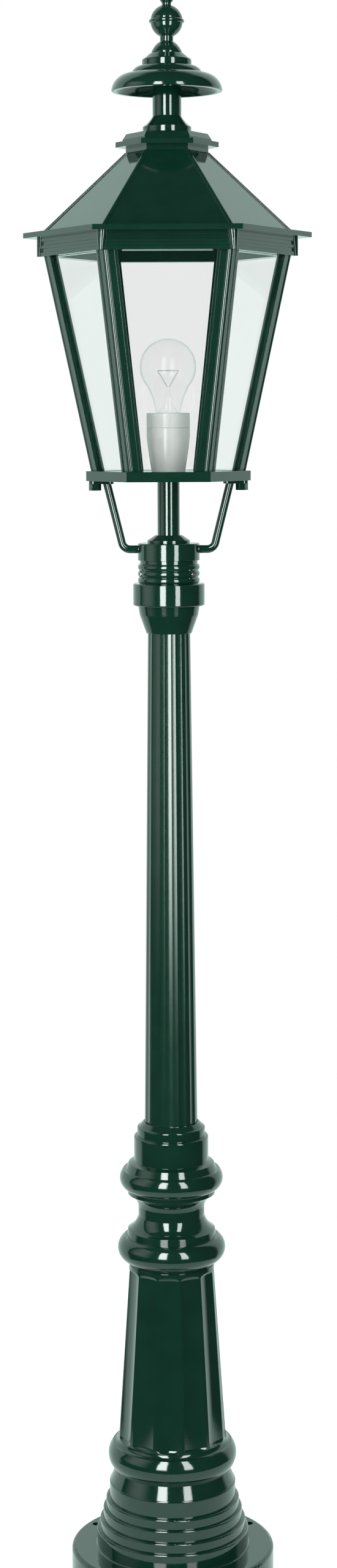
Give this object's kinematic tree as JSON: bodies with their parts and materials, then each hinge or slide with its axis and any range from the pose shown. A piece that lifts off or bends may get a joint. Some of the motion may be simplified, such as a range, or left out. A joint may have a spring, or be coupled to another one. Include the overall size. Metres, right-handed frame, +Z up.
{
  "type": "garden lamp post",
  "caption": "Garden lamp post with a hexagonal glazed lantern on a fork, a fluted tapering shaft, a ringed collar and a fluted pedestal on a round bolt-down flange.",
  "frame": {"origin": "centre of the flange's underside, on the ground", "axes": "+Z up along the post's axis; the lantern's front pane faces -Y; lantern corners lie on +X and -X"},
  "size_m": [0.3052, 0.2644, 1.748],
  "materials": {
    "green_paint": "gloss",
    "stainless_steel": "satin",
    "porcelain": "gloss",
    "pane_glass": "clear",
    "bulb_glass": "clear",
    "cap_metal": "satin",
    "wire": "satin"
  },
  "bodies": {
    "root": {"base_casting": "green_paint", "bulb_cap": "cap_metal", "bulb_filament": "wire", "bulb_glass": "bulb_glass", "bulb_stem": "bulb_glass", "chimney": "green_paint", "chimney_cap": "green_paint", "collar_casting": "green_paint", "corner_bar_front_left": "green_paint", "corner_bar_front_right": "green_paint", "corner_bar_left": "green_paint", "corner_bar_rear_left": "green_paint", "corner_bar_rear_right": "green_paint", "corner_bar_right": "green_paint", "crown_collar": "green_paint", "eave_ring": "green_paint", "finial": "green_paint", "finial_nut": "stainless_steel", "finial_rod": "stainless_steel", "floor_plate": "green_paint", "fork_arm_left": "green_paint", "fork_arm_right": "green_paint", "fork_bolts": "green_paint", "glass_front": "pane_glass", "glass_front_left": "pane_glass", "glass_front_right": "pane_glass", "glass_rear": "pane_glass", "glass_rear_left": "pane_glass", "glass_rear_right": "pane_glass", "lamp_holder": "porcelain", "lamp_holder_ring": "porcelain", "neck_grub_screws": "stainless_steel", "neck_socket": "green_paint", "roof_hood": "green_paint", "shaft": "green_paint", "stem_collar": "green_paint", "stem_lock_nut": "stainless_steel", "stem_tube": "green_paint"}
  },
  "joints": []
}
